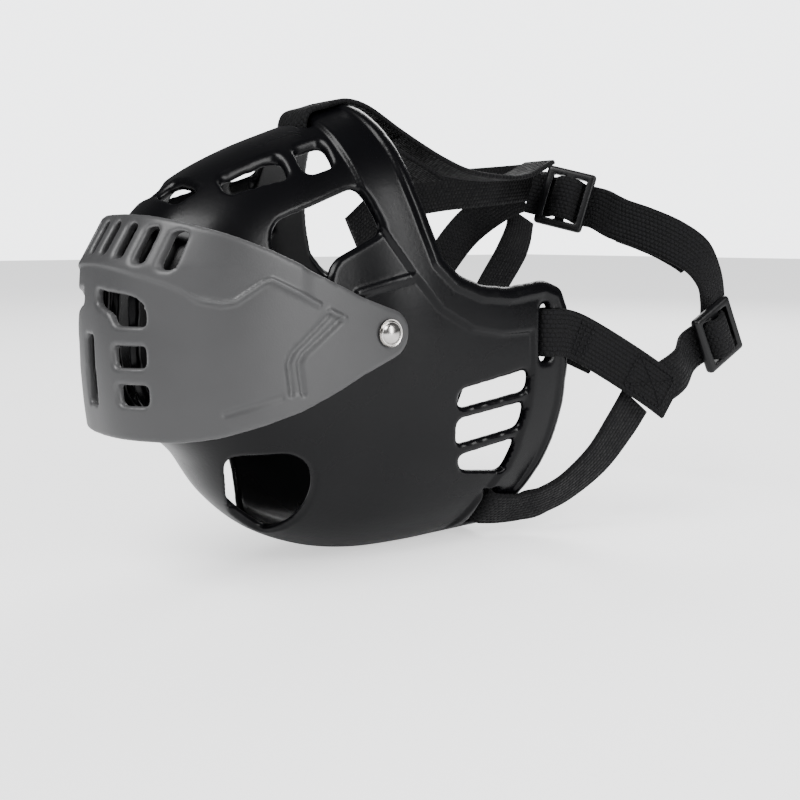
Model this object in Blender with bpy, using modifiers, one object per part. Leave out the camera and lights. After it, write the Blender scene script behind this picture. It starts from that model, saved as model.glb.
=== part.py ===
"""Basket muzzle with a swinging front visor and a webbing neck harness."""

import math

import bmesh
import bpy
from mathutils import Vector

NAME = "basket_muzzle"
MM = 0.001
LIFT = 29.6            # height of the shell's centre frame above the rest plane, mm

SHELL_WALL = 2.0
VISOR_WALL = 1.6
ROUND = 2.25           # superellipse power of the shell's cross-section
RIVET_Y, RIVET_Z = -22.0, 17.8
VISOR_W, VISOR_L, VISOR_Y0, VISOR_N = 25.0, 49.5, -20.0, 2.5
WEB_W, WEB_T = 10.0, 1.1
GAP = 0.35
STITCH_W, STITCH_T, SEAM_GAP = 8.0, 0.4, 0.3

# Shell stations from the nose pole to the rear: crown (y, z), side (x, y, z), keel (y, z)
STATIONS = (
    ((-66.5, 18.0), (0.0, -66.5, 18.0), (-66.5, 18.0)),
    ((-66.2, 25.0), (6.0, -65.8, 18.0), (-66.2, 11.0)),
    ((-64.8, 31.5), (11.0, -63.5, 18.0), (-65.0, 6.0)),
    ((-61.5, 37.0), (15.5, -59.0, 18.0), (-61.5, 1.5)),
    ((-57.0, 42.2), (18.5, -53.0, 17.5), (-57.0, -2.0)),
    ((-50.0, 47.4), (20.6, -46.0, 17.0), (-52.5, -6.5)),
    ((-41.0, 52.0), (21.8, -37.0, 16.5), (-47.5, -14.5)),
    ((-32.0, 55.6), (22.6, -27.0, 16.0), (-39.5, -21.8)),
    ((-24.0, 58.5), (23.0, -19.0, 15.5), (-29.0, -26.8)),
    ((-16.0, 61.0), (24.2, -9.0, 15.0), (-18.0, -29.4)),
    ((-4.0, 63.0), (25.4, 4.0, 14.0), (-6.0, -30.2)),
    ((12.0, 64.0), (26.0, 16.0, 13.0), (6.0, -30.2)),
    ((28.0, 64.0), (26.0, 30.0, 13.0), (20.0, -30.2)),
)
# Side profile of the rear rim (y, z), crown to keel
RIM = (
    (-16.5, 70.0), (-16.5, 60.0), (-14.0, 52.0), (-12.3, 44.0), (-10.5, 37.0), (-8.5, 31.0),
    (-4.5, 27.3), (1.0, 25.2), (8.0, 24.6), (17.5, 25.8), (22.3, 24.2), (24.0, 20.0), (24.2, 8.0),
    (23.8, 0.0), (22.6, -7.0), (21.0, -12.5), (18.5, -18.0), (15.6, -23.0), (13.6, -32.0),
)
SIDE_WINDOW = ((-42.5, 35.8), (-41.0, 38.0), (-33.0, 41.0), (-24.5, 44.3), (-22.8, 42.5), (-20.2, 36.2),
               (-31.0, 31.5), (-33.0, 28.5), (-33.5, 24.0), (-43.0, 24.0))
REAR_SLOTS = (
    ((-3.7, 5.2), (14.0, 8.2), (14.0, 4.0), (-3.9, 1.6)),
    ((-3.6, -0.8), (13.8, 1.4), (12.8, -3.8), (-3.2, -6.0)),
    ((-2.2, -8.6), (12.6, -6.4), (10.6, -13.4), (-0.6, -11.8)),
)
CHIN_OPENING = ((-50.0, -4.0), (-39.0, -4.0), (-35.0, -7.0), (-33.8, -12.0), (-35.0, -18.0), (-38.5, -22.5),
                (-42.5, -20.5), (-47.0, -13.0))
TOP_WINDOWS = (
    ((9.0, -48.0), (10.0, -36.5), (14.3, -36.5), (12.6, -48.0)),
    ((10.2, -33.2), (10.4, -27.2), (15.0, -27.2), (14.6, -33.2)),
)
NOSE_WINDOW = ((1.2, -56.5), (1.2, -52.6), (8.6, -51.4), (7.8, -55.8))
GRILLE_X, GRILLE_W, GRILLE_Z = (-10.0, -5.0, 0.0, 5.0, 10.0), 3.4, (4.5, 32.5)

VISOR_PROFILE = (
    (-75.0, 41.0), (-62.0, 38.9), (-51.6, 35.5), (-45.4, 33.0), (-36.0, 28.6), (-27.0, 24.4), (-22.0, 22.6),
    (-19.0, 21.6), (-17.4, 19.6), (-17.0, 17.8), (-17.4, 15.6), (-19.0, 13.6), (-22.0, 12.4),
    (-27.1, 10.4), (-33.0, 7.6), (-40.3, 4.6), (-47.8, 2.5), (-54.7, 0.9), (-60.2, 0.3), (-75.0, 0.6),
)
VISOR_SLOT_X, VISOR_SLOT_W, VISOR_SLOT_Z = (2.4, 7.3, 11.6, 15.4), 2.5, (32.0, 38.0)
VISOR_EYE = ((2.8, 26.4), (10.6, 25.6), (12.6, 24.6), (13.4, 22.6), (13.4, 20.4), (8.0, 20.4), (6.6, 22.6), (2.8, 23.9))
VISOR_SQUARES = (((7.4, 16.9), (13.3, 17.0), (13.3, 13.4), (7.6, 13.2)), ((7.8, 10.2), (13.3, 10.4), (13.3, 6.8), (8.2, 6.6)))
VISOR_CENTRE_SLOT = ((-1.7, 18.4), (1.7, 18.4), (1.9, 6.0), (-1.9, 6.0))

COLOURS = {
    "black_plastic": ((0.012, 0.012, 0.016), 0.28, 0.0),
    "grey_plastic": ((0.155, 0.155, 0.16), 0.42, 0.0),
    "nickel": ((0.62, 0.6, 0.57), 0.22, 1.0),
    "webbing": ((0.01, 0.01, 0.012), 0.85, 0.0),
    "slider_plastic": ((0.014, 0.014, 0.017), 0.4, 0.0),
    "thread": ((0.018, 0.018, 0.02), 0.8, 0.0),
}


def clear_scene():
    for old in list(bpy.data.objects):
        bpy.data.objects.remove(old, do_unlink=True)


def collection(name):
    made = bpy.data.collections.new(name)
    bpy.context.scene.collection.children.link(made)
    return made


def material(slot):
    found = bpy.data.materials.get(slot)
    if found:
        return found
    colour, rough, metal = COLOURS[slot]
    made = bpy.data.materials.new(slot)
    made.use_nodes = True
    shader = made.node_tree.nodes["Principled BSDF"]
    shader.inputs["Base Color"].default_value = (*colour, 1.0)
    shader.inputs["Roughness"].default_value = rough
    shader.inputs["Metallic"].default_value = metal
    return made


def place(x, y, z):
    """A point of the design, in mm, as a point of the scene, in metres."""
    return Vector((x * MM, y * MM, (z + LIFT) * MM))


def new_object(name, verts, faces, home, slot=None):
    mesh = bpy.data.meshes.new(name)
    mesh.from_pydata([tuple(v) for v in verts], [], faces)
    bm = bmesh.new()
    bm.from_mesh(mesh)
    bmesh.ops.remove_doubles(bm, verts=bm.verts, dist=0.00001)
    bm.to_mesh(mesh)
    bm.free()
    obj = bpy.data.objects.new(name, mesh)
    home.objects.link(obj)
    if slot:
        mesh.materials.append(material(slot))
    return obj


def face_outward(obj):
    bm = bmesh.new()
    bm.from_mesh(obj.data)
    bmesh.ops.recalc_face_normals(bm, faces=bm.faces)
    bm.to_mesh(obj.data)
    bm.free()


def smooth_through(points, count):
    """Catmull-Rom points through the given ones, count to each span."""
    pts = [Vector(p) for p in points]
    ends = [pts[0] * 2 - pts[1]] + pts + [pts[-1] * 2 - pts[-2]]
    out = []
    for i in range(1, len(ends) - 2):
        a, b, c, d = ends[i - 1:i + 3]
        for k in range(count):
            t = k / count
            out.append(0.5 * (2 * b + (c - a) * t + (2 * a - 5 * b + 4 * c - d) * t * t
                              + (3 * b - a - 3 * c + d) * t ** 3))
    out.append(pts[-1])
    return out


def power(value, exponent):
    return math.copysign(abs(value) ** exponent, value)


def shell_surface(home):
    spans, around = 3, 44
    crowns = smooth_through([(0.0, *s[0]) for s in STATIONS], spans)
    sides = smooth_through([s[1] for s in STATIONS], spans)
    keels = smooth_through([(0.0, *s[2]) for s in STATIONS], spans)
    verts, faces = [place(*crowns[0])], []
    for crown, side, keel in list(zip(crowns, sides, keels))[1:]:
        for k in range(around):
            turn = 2 * math.pi * k / around
            across = power(math.cos(turn), 2 / ROUND)
            up = power(math.sin(turn), 2 / ROUND)
            end = crown if up >= 0 else keel
            share = abs(up)
            verts.append(place(side.x * across, side.y + (end.y - side.y) * share ** 1.5,
                               side.z + (end.z - side.z) * share))
    rows = len(crowns) - 1
    for k in range(around):
        faces.append((0, 1 + k, 1 + (k + 1) % around))
    for r in range(rows - 1):
        for k in range(around):
            a, b = 1 + r * around + k, 1 + r * around + (k + 1) % around
            faces.append((a, a + around, b + around, b))
    return new_object("basket_shell", verts, faces, home, "black_plastic")


def visor_surface(home):
    levels = (-1.0, 6.0, 12.0, 18.0, 25.0, 30.5, 34.0, 37.0, 40.0, 42.0)
    steps = 18
    verts, faces = [], []
    for z in levels:
        lean = 0.004 * (z - 15.0) ** 2 if z < 30.5 else 0.96 + (z - 30.5) * 0.62
        half = [(VISOR_W, VISOR_Y0 + 7.0), (VISOR_W, VISOR_Y0 + 3.0)]
        for k in range(steps + 1):
            turn = math.pi / 2 * (1 - k / steps)
            across = VISOR_W * math.sin(turn) ** (2 / VISOR_N)
            half.append((across, VISOR_Y0 - (VISOR_L - lean) * abs(math.cos(turn)) ** (2 / VISOR_N)))
        line = half + [(-x, y) for x, y in reversed(half[:-1])]
        verts += [place(x, y, z) for x, y in line]
    wide = len(verts) // len(levels)
    for r in range(len(levels) - 1):
        for k in range(wide - 1):
            a = r * wide + k
            faces.append((a, a + wide, a + wide + 1, a + 1))
    return new_object("visor", verts, faces, home, "grey_plastic")


def thicken(obj, wall):
    mod = obj.modifiers.new("wall", "SOLIDIFY")
    mod.thickness = wall * MM
    mod.offset = -1.0
    mod.use_even_offset = True


def prism(name, outline, axis, start, end, home):
    """An outline in the plane across an axis, drawn out along it from start to end."""
    order = {"X": lambda a, b, t: (t, a, b), "Y": lambda a, b, t: (a, t, b), "Z": lambda a, b, t: (a, b, t)}[axis]
    count = len(outline)
    verts = [place(*order(a, b, t)) for t in (start, end) for a, b in outline]
    faces = [tuple(range(count)), tuple(range(2 * count - 1, count - 1, -1))]
    faces += [(k, k + count, (k + 1) % count + count, (k + 1) % count) for k in range(count)]
    made = new_object(name, verts, faces, home)
    face_outward(made)
    made.hide_render = True
    made.display_type = "WIRE"
    return made


def round_cutter(name, radius, start, end, y, z, home):
    outline = [(y + radius * math.cos(math.pi * k / 10), z + radius * math.sin(math.pi * k / 10)) for k in range(20)]
    return prism(name, outline, "X", start, end, home)


def box_cutter(name, size, centre, tilt, home):
    """A box with its size in mm, turned about Y by tilt degrees."""
    x, y, z = (s / 2 for s in size)
    turn = math.radians(tilt)
    verts = []
    for dx, dy, dz in ((a, b, c) for a in (-x, x) for b in (-y, y) for c in (-z, z)):
        verts.append(place(centre[0] + dx * math.cos(turn) + dz * math.sin(turn), centre[1] + dy,
                           centre[2] - dx * math.sin(turn) + dz * math.cos(turn)))
    faces = [(0, 1, 3, 2), (4, 6, 7, 5), (0, 4, 5, 1), (2, 3, 7, 6), (0, 2, 6, 4), (1, 5, 7, 3)]
    made = new_object(name, verts, faces, home)
    face_outward(made)
    made.hide_render = True
    made.display_type = "WIRE"
    return made


def cut(obj, cutter, operation="DIFFERENCE"):
    mod = obj.modifiers.new(cutter.name, "BOOLEAN")
    mod.operation = operation
    mod.solver = "EXACT"
    mod.object = cutter


def mirrored(outline):
    return [(-a, b) for a, b in outline]


def build_shell(home, tools):
    shell = shell_surface(home)
    thicken(shell, SHELL_WALL)
    behind = list(RIM) + [(60.0, -32.0), (60.0, 70.0)]
    cut(shell, prism("cut_rim", behind, "X", -40.0, 40.0, tools))
    cut(shell, box_cutter("cut_base", (60.0, 140.0, 10.0), (0.0, -10.0, -LIFT - 5.0), 0.0, tools))
    cut(shell, prism("cut_side_window", SIDE_WINDOW, "X", -40.0, 40.0, tools))
    for n, outline in enumerate(REAR_SLOTS):
        cut(shell, prism(f"cut_rear_slot_{n}", outline, "X", -40.0, 40.0, tools))
    for side, sign in (("left", 1.0), ("right", -1.0)):
        cut(shell, prism(f"cut_chin_{side}", CHIN_OPENING, "X", 4.0 * sign, 40.0 * sign, tools))
        for n, outline in enumerate((*TOP_WINDOWS, NOSE_WINDOW)):
            turned = outline if sign > 0 else mirrored(outline)
            cut(shell, prism(f"cut_top_{side}_{n}", turned, "Z", 28.0, 75.0, tools))
        cut(shell, box_cutter(f"cut_throat_{side}", (12.0, 3.4, 12.0), (16.2 * sign, 9.4, -22.0), -50.0 * sign, tools))
    for n, x in enumerate(GRILLE_X):
        low, high = GRILLE_Z
        drop = 0.03 * x * x
        bar = ((x - GRILLE_W / 2, low), (x + GRILLE_W / 2, low), (x + GRILLE_W / 2, high - drop), (x - GRILLE_W / 2, high - drop))
        cut(shell, prism(f"cut_grille_{n}", bar, "Y", -80.0, -50.0, tools))
    ear = ((16.3, 9.6), (19.4, 9.6), (19.4, 21.8), (16.3, 21.8))
    cut(shell, prism("cut_ear_slot", ear, "X", -40.0, 40.0, tools))
    crown = ((-5.8, -28.2), (5.8, -28.2), (5.8, -25.2), (-5.8, -25.2))
    cut(shell, prism("cut_crown_slot", crown, "Z", 40.0, 75.0, tools))
    cut(shell, round_cutter("cut_shell_pin", 1.8, -40.0, 40.0, RIVET_Y, RIVET_Z, tools))
    return shell


def build_visor(home, tools):
    visor = visor_surface(home)
    thicken(visor, VISOR_WALL)
    cut(visor, prism("keep_visor", VISOR_PROFILE, "X", -40.0, 40.0, tools), "INTERSECT")
    low, high = VISOR_SLOT_Z
    for sign in (1.0, -1.0):
        tag = "left" if sign > 0 else "right"
        for n, x in enumerate(VISOR_SLOT_X):
            inner, outer = sign * (x - VISOR_SLOT_W / 2), sign * (x + VISOR_SLOT_W / 2)
            bottom, top = low - 0.01 * x * x, high - 0.0075 * x * x
            slot = ((inner, bottom), (outer, bottom), (outer, top), (inner, top))
            cut(visor, prism(f"cut_slot_{tag}_{n}", slot, "Y", -80.0, -50.0, tools))
        for n, outline in enumerate((VISOR_EYE, *VISOR_SQUARES)):
            turned = outline if sign > 0 else mirrored(outline)
            cut(visor, prism(f"cut_face_{tag}_{n}", turned, "Y", -80.0, -50.0, tools))
    cut(visor, prism("cut_face_centre", VISOR_CENTRE_SLOT, "Y", -80.0, -50.0, tools))
    cut(visor, round_cutter("cut_visor_pin", 1.85, -40.0, 40.0, RIVET_Y, RIVET_Z, tools))
    return visor


def turned(name, profile, sign, home, slot):
    """A piece turned about the rivet axis; the profile is (radius, x) from its outer end inward."""
    sides = 20
    verts, faces = [], []
    for radius, x in profile:
        for k in range(sides):
            a = 2 * math.pi * k / sides
            verts.append(place(sign * x, RIVET_Y + radius * math.cos(a), RIVET_Z + radius * math.sin(a)))
    rows = len(profile)
    for r in range(rows - 1):
        for k in range(sides):
            a, b = r * sides + k, r * sides + (k + 1) % sides
            faces.append((a, b, b + sides, a + sides))
    if profile[0] != profile[-1]:
        faces.append(tuple(range(sides)))
        faces.append(tuple(reversed(range((rows - 1) * sides, rows * sides))))
    made = new_object(name, verts, faces, home, slot)
    face_outward(made)
    pivot = place(sign * profile[0][1], RIVET_Y, RIVET_Z)
    for vert in made.data.vertices:
        vert.co -= pivot
    made.location = pivot
    return made


def build_rivets(home):
    outer = VISOR_W + GAP
    inner = 20.6
    for side, sign in (("left", 1.0), ("right", -1.0)):
        head = [(0.7, outer + 1.3), (1.5, outer + 1.1), (2.2, outer + 0.6), (2.6, outer), (1.5, outer),
                (1.5, inner - 1.6)]
        turned(f"rivet_{side}", head, sign, home, "nickel")
        cap = [(1.8, inner - 0.35), (2.8, inner - 0.35), (2.8, inner - 1.2), (1.8, inner - 1.2), (1.8, inner - 0.35)]
        turned(f"rivet_cap_{side}", cap, sign, home, "nickel")
        washer = [(1.85, 23.22), (3.0, 23.22), (3.0, 23.06), (1.85, 23.06), (1.85, 23.22)]
        turned(f"washer_{side}", washer, sign, home, "nickel")


def framed(path, across, count=4):
    """Point, width direction and face normal at each step of a smooth webbing path."""
    line = smooth_through(path, count)
    lean = smooth_through(across, count)
    steps = []
    for i, point in enumerate(line):
        ahead = line[min(i + 1, len(line) - 1)] - line[max(i - 1, 0)]
        ahead.normalize()
        side = lean[i] - ahead * lean[i].dot(ahead)
        side.normalize()
        steps.append((point, side, ahead.cross(side)))
    return steps


def band(name, steps, home, slot="webbing", wide=WEB_W, thick=WEB_T, offset=0.0):
    """A flat closed band over framed steps, moved off them along the normal by offset."""
    verts = []
    for point, side, normal in steps:
        for a, b in ((-1, -1), (1, -1), (1, 1), (-1, 1)):
            verts.append(place(*(point + side * (a * wide / 2) + normal * (offset + b * thick / 2))))
    faces = [(0, 1, 2, 3), tuple(len(verts) - 4 + k for k in (3, 2, 1, 0))]
    for i in range(len(steps) - 1):
        for k in range(4):
            a, b = 4 * i + k, 4 * i + (k + 1) % 4
            faces.append((a, a + 4, b + 4, b))
    made = new_object(name, verts, faces, home, slot)
    face_outward(made)
    return made


def strip(name, path, across, home):
    """Webbing along a path; across gives the width direction at each path point."""
    return band(name, framed(path, across), home)


def stitch(name, path, across, first, last, sign, home):
    """A sewn thread patch lying on the webbing between two steps of its path."""
    steps = framed(path, across)[first:last]
    off = sign * (WEB_T / 2 + STITCH_T / 2 + SEAM_GAP)
    return band(name, steps, home, "thread", STITCH_W, STITCH_T, off)


FOREHEAD = ((0, 8.0, 47.8), (0, 2.0, 50.6), (0, -6.0, 53.6), (0, -12.0, 55.0), (0, -18.0, 55.0), (0, -23.0, 53.6),
            (0, -26.0, 53.4), (0, -26.9, 56.0), (0, -25.8, 59.2), (0, -22.0, 60.6), (0, -17.0, 61.9),
            (0, -11.5, 60.9), (0, -4.0, 57.2), (0, 3.0, 54.0), (0, 9.0, 51.6), (0, 16.0, 49.6), (0, 26.0, 48.8),
            (0, 34.0, 49.4), (0, 42.0, 52.8))
SIDE_LEFT = ((26.4, 34.0, 10.4), (24.2, 29.0, 13.0), (22.9, 25.0, 15.0), (22.7, 21.5, 15.7), (23.0, 19.2, 15.7),
             (24.0, 17.9, 15.7), (26.0, 17.7, 15.7), (27.2, 19.4, 15.7), (27.4, 22.0, 15.6), (27.8, 25.6, 14.6),
             (29.8, 31.0, 11.6), (33.0, 37.5, 7.2), (35.6, 43.4, 3.0), (36.6, 47.4, 0.2))
THROAT_LEFT = ((31.2, 41.5, -0.4), (30.4, 38.0, -5.4), (28.4, 33.0, -12.6), (25.0, 27.4, -18.6), (21.8, 22.8, -21.8),
               (19.0, 19.2, -23.2), (17.9, 16.5, -23.5), (17.6, 13.0, -23.1), (17.0, 10.3, -22.6), (15.7, 9.6, -21.6),
               (14.3, 10.4, -20.4), (13.5, 12.6, -19.8), (12.9, 15.0, -19.3), (12.6, 17.2, -19.0), (12.4, 19.4, -18.8))
TOP_SLIDER = ((0.6, 50.4, 44.6), (0.8, 0.6, -0.25), (0.1, 0.3, 1.0))
LOWER_SLIDER = ((35.6, 64.6, 13.4), (-0.1, -0.85, -0.5), (0.0, 0.45, -0.9))
WEAVE = ((-8.5, -2.1), (-5.0, -2.1), (-3.3, -1.3), (-2.5, 0.5), (-1.3, 1.9), (1.3, 1.9), (2.5, 0.5), (3.3, -1.3),
         (5.0, -2.1), (8.5, -2.1))
NECK_FAR = ((-20.0, 63.0, 47.6), (-16.0, 61.0, 47.2), (-11.6, 57.0, 47.0))
NECK_NEAR = ((12.4, 56.0, 39.8), (19.0, 57.6, 37.6), (25.2, 60.2, 34.8), (29.6, 63.6, 31.2),
             (31.4, 66.4, 26.2), (31.8, 67.6, 21.0), (31.8, 67.8, 16.4))
NECK_END = ((34.4, 53.0, 6.2), (33.8, 48.0, 3.6), (33.4, 43.4, 2.6))
SIDE_RIGHT = ((-25.0, 32.0, 23.0), (-23.4, 27.0, 18.6), (-22.8, 24.0, 16.4), (-22.7, 21.5, 15.7), (-23.0, 19.2, 15.7),
              (-24.0, 17.9, 15.7), (-26.0, 17.7, 15.7), (-27.2, 19.4, 15.7), (-27.4, 22.0, 15.9), (-27.6, 25.2, 17.6),
              (-27.4, 32.0, 26.0), (-26.0, 42.0, 37.4), (-23.0, 52.0, 44.6), (-21.6, 58.0, 47.0))
THROAT_RIGHT = ((-24.9, 60.9, 41.0), (-23.6, 58.4, 35.6), (-22.4, 54.0, 30.2), (-23.4, 48.0, 21.0), (-24.8, 40.0, 6.0), (-24.6, 32.0, -8.0),
                (-22.4, 25.5, -17.0), (-19.4, 20.0, -22.0),
                (-17.9, 16.5, -23.3), (-17.6, 13.0, -23.1), (-17.0, 10.3, -22.6), (-15.7, 9.6, -21.6),
                (-14.3, 10.4, -20.4), (-13.5, 12.6, -19.8), (-12.9, 15.0, -19.3), (-12.6, 17.2, -19.0), (-12.4, 19.4, -18.8))
TAIL = ((-17.6, 57.0, 49.6), (-17.0, 48.0, 48.6), (-16.6, 38.0, 47.6), (-16.8, 26.0, 46.4), (-17.6, 15.0, 44.4),
        (-18.6, 7.0, 40.6), (-19.0, 1.0, 36.0))


def slider_axes(site):
    """Centre, run, width and normal directions of a slider."""
    centre, along, across = (Vector(part) for part in site)
    run = along.normalized()
    wide = (across - run * across.dot(run)).normalized()
    return centre, run, wide, run.cross(wide)


def woven(site):
    """The webbing's path over a slider's centre bar."""
    centre, run, _, normal = slider_axes(site)
    return [tuple(centre + run * u + normal * t) for u, t in WEAVE]


def neck_path():
    """Webbing from the far joint through the top slider to the lower slider, with its width directions."""
    path = [*NECK_FAR, *woven(TOP_SLIDER), *NECK_NEAR]
    wide = tuple(slider_axes(TOP_SLIDER)[2])
    turns = [(0.0, 0.2, 1.0)] * len(NECK_FAR) + [wide] * len(WEAVE)
    turns += [(0.1, 0.3, 1.0), (0.1, 0.35, 0.95), (0.1, 0.45, 0.85), (0.0, 0.65, 0.75), (-0.1, 0.9, 0.45),
              (-0.1, 1.0, 0.1), (-0.1, 1.0, 0.0)]
    return path, turns


def adjuster_path():
    """Webbing over the lower slider's centre bar and on to the near joint."""
    path = [*woven(LOWER_SLIDER)[1:], *NECK_END]
    wide = tuple(slider_axes(LOWER_SLIDER)[2])
    return path, [wide] * (len(WEAVE) - 1) + [(0.0, 0.35, -0.9), (0.0, 0.2, -1.0), (0.0, 0.1, -1.0)]


def build_straps(home):
    flat = [(1.0, 0.0, 0.0)] * len(FOREHEAD)
    strip("forehead_strap", FOREHEAD, flat, home)
    stitch("stitch_forehead", FOREHEAD, flat, 46, 50, 1.0, home)
    left_across = [(0.0, 0.3, 1.0), (0.0, 0.15, 1.0)] + [(0.0, 0.0, 1.0)] * 7 + [(0.0, 0.2, 1.0)]
    left_across += [(0.05, 0.5, 1.0)] * 4
    strip("side_strap_left", SIDE_LEFT, left_across, home)
    stitch("stitch_ear_left", SIDE_LEFT, left_across, 36, 39, 1.0, home)
    stitch("stitch_joint_left", SIDE_LEFT, left_across, 44, 51, 1.0, home)
    slant = (0.65, 0.0, 0.76)
    upper = [(0.0, -0.75, 0.6), (0.05, -0.75, 0.62), (0.2, -0.65, 0.68), (0.42, -0.35, 0.76), (0.6, -0.1, 0.77)]
    strip("throat_strap_left", THROAT_LEFT, upper + [slant] * 10, home)
    right_across = [(0.0, -0.4, 1.0), (0.0, -0.2, 1.0)] + [(0.0, 0.0, 1.0)] * 7 + [(0.0, -0.3, 1.0)]
    right_across += [(0.0, -0.7, 0.8)] * 4
    strip("side_strap_right", SIDE_RIGHT, right_across, home)
    stitch("stitch_ear_right", SIDE_RIGHT, right_across, 36, 39, -1.0, home)
    far = (-0.65, 0.0, 0.76)
    upper = [(0.0, -0.9, 0.5), (0.0, -0.9, 0.5), (0.0, -0.9, 0.4), (0.0, -0.9, 0.35), (0.0, -0.9, 0.4), (-0.15, -0.75, 0.55),
             (-0.45, -0.35, 0.75)]
    strip("throat_strap_right", THROAT_RIGHT, upper + [far] * 10, home)
    strip("strap_tail", TAIL, [(0.3, 0.0, 1.0)] * len(TAIL), home)
    path, turns = neck_path()
    strip("neck_strap", path, turns, home)
    first = 4 * (len(NECK_FAR) + len(WEAVE)) + 1
    band("neck_strap_inner", framed(path, turns)[first:first + 12], home, offset=-(WEB_T + 2 * SEAM_GAP))
    strip("adjuster_strap", *adjuster_path(), home)


def slider(name, site, home, tools):
    """A tri-glide: a flat frame with a centre bar."""
    middle, run, wide, normal = slider_axes(site)

    def block(tag, u, v, t, half_u, half_v, half_t, where, slot=None):
        verts = []
        for a, b, c in ((a, b, c) for a in (-1, 1) for b in (-1, 1) for c in (-1, 1)):
            verts.append(place(*(middle + run * (u + a * half_u) + wide * (v + b * half_v) + normal * (t + c * half_t))))
        faces = [(0, 1, 3, 2), (4, 6, 7, 5), (0, 4, 5, 1), (2, 3, 7, 6), (0, 2, 6, 4), (1, 5, 7, 3)]
        made = new_object(tag, verts, faces, where, slot)
        face_outward(made)
        return made

    body = block(name, 0.0, 0.0, 0.0, 6.0, 7.2, 1.1, home, "slider_plastic")
    for n, u in enumerate((-2.6, 2.6)):
        hole = block(f"cut_{name}_{n}", u, 0.0, 0.0, 1.5, 5.4, 4.0, tools)
        hole.hide_render = True
        hole.display_type = "WIRE"
        cut(body, hole)
    return body


def build_sliders(home, tools):
    slider("top_slider", TOP_SLIDER, home, tools)
    slider("lower_slider", LOWER_SLIDER, home, tools)


def main():
    clear_scene()
    home, tools = collection(NAME), collection("cutters")
    build_shell(home, tools)
    build_visor(home, tools)
    build_rivets(home)
    build_straps(home)
    build_sliders(home, tools)
    for obj in home.objects:
        for poly in obj.data.polygons:
            poly.use_smooth = True
        obj.data.set_sharp_from_angle(angle=math.radians(35))


main()
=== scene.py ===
import math

import bmesh
import bpy
import numpy as np
from mathutils import Matrix, Vector


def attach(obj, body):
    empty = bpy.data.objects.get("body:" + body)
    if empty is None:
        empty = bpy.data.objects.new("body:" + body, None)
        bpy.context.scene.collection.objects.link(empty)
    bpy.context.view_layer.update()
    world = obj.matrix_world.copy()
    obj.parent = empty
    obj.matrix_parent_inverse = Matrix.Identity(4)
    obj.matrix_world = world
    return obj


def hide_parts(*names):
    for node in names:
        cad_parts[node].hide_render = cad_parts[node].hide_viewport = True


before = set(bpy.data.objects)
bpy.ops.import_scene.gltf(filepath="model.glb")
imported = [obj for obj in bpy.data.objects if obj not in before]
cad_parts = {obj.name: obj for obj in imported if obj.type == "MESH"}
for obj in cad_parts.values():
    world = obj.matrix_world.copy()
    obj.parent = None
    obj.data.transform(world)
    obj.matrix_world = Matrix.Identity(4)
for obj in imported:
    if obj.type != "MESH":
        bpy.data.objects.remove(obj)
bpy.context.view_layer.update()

MM = 0.001
LIFT = 29.6

# ---------------------------------------------------------------- measurements of the muzzle, in mm

SHELL_WALL = 2.0
VISOR_WALL = 1.6
ROUND = 2.25
RIVET_Y, RIVET_Z = -22.0, 17.8
VISOR_W, VISOR_L, VISOR_Y0, VISOR_N = 25.0, 49.5, -20.0, 2.5
WEB_W, WEB_T = 10.0, 1.1

# Shell stations from nose to rear: crown (y, z), side (x, y, z), keel (y, z)
STATIONS = (
    ((-66.5, 18.0), (0.0, -66.5, 18.0), (-66.5, 18.0)),
    ((-66.2, 25.0), (6.0, -65.8, 18.0), (-66.2, 11.0)),
    ((-64.8, 31.5), (11.0, -63.5, 18.0), (-65.0, 6.0)),
    ((-61.5, 37.0), (15.5, -59.0, 18.0), (-61.5, 1.5)),
    ((-57.0, 42.2), (18.5, -53.0, 17.5), (-57.0, -2.0)),
    ((-50.0, 47.4), (20.6, -46.0, 17.0), (-52.5, -6.5)),
    ((-41.0, 52.0), (21.8, -37.0, 16.5), (-47.5, -14.5)),
    ((-32.0, 55.6), (22.6, -27.0, 16.0), (-39.5, -21.8)),
    ((-24.0, 58.5), (23.0, -19.0, 15.5), (-29.0, -26.8)),
    ((-16.0, 61.0), (24.2, -9.0, 15.0), (-18.0, -29.4)),
    ((-4.0, 63.0), (25.4, 4.0, 14.0), (-6.0, -30.2)),
    ((12.0, 64.0), (26.0, 16.0, 13.0), (6.0, -30.2)),
    ((28.0, 64.0), (26.0, 30.0, 13.0), (20.0, -30.2)),
)
RIM = (
    (-16.5, 70.0), (-16.5, 60.0), (-14.0, 52.0), (-12.3, 44.0), (-10.5, 37.0), (-8.5, 31.0),
    (-4.5, 27.3), (1.0, 25.2), (8.0, 24.6), (17.5, 25.8), (22.3, 24.2), (24.0, 20.0), (24.2, 8.0),
    (23.8, 0.0), (22.6, -7.0), (21.0, -12.5), (18.5, -18.0), (15.6, -23.0), (13.6, -32.0),
)
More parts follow.
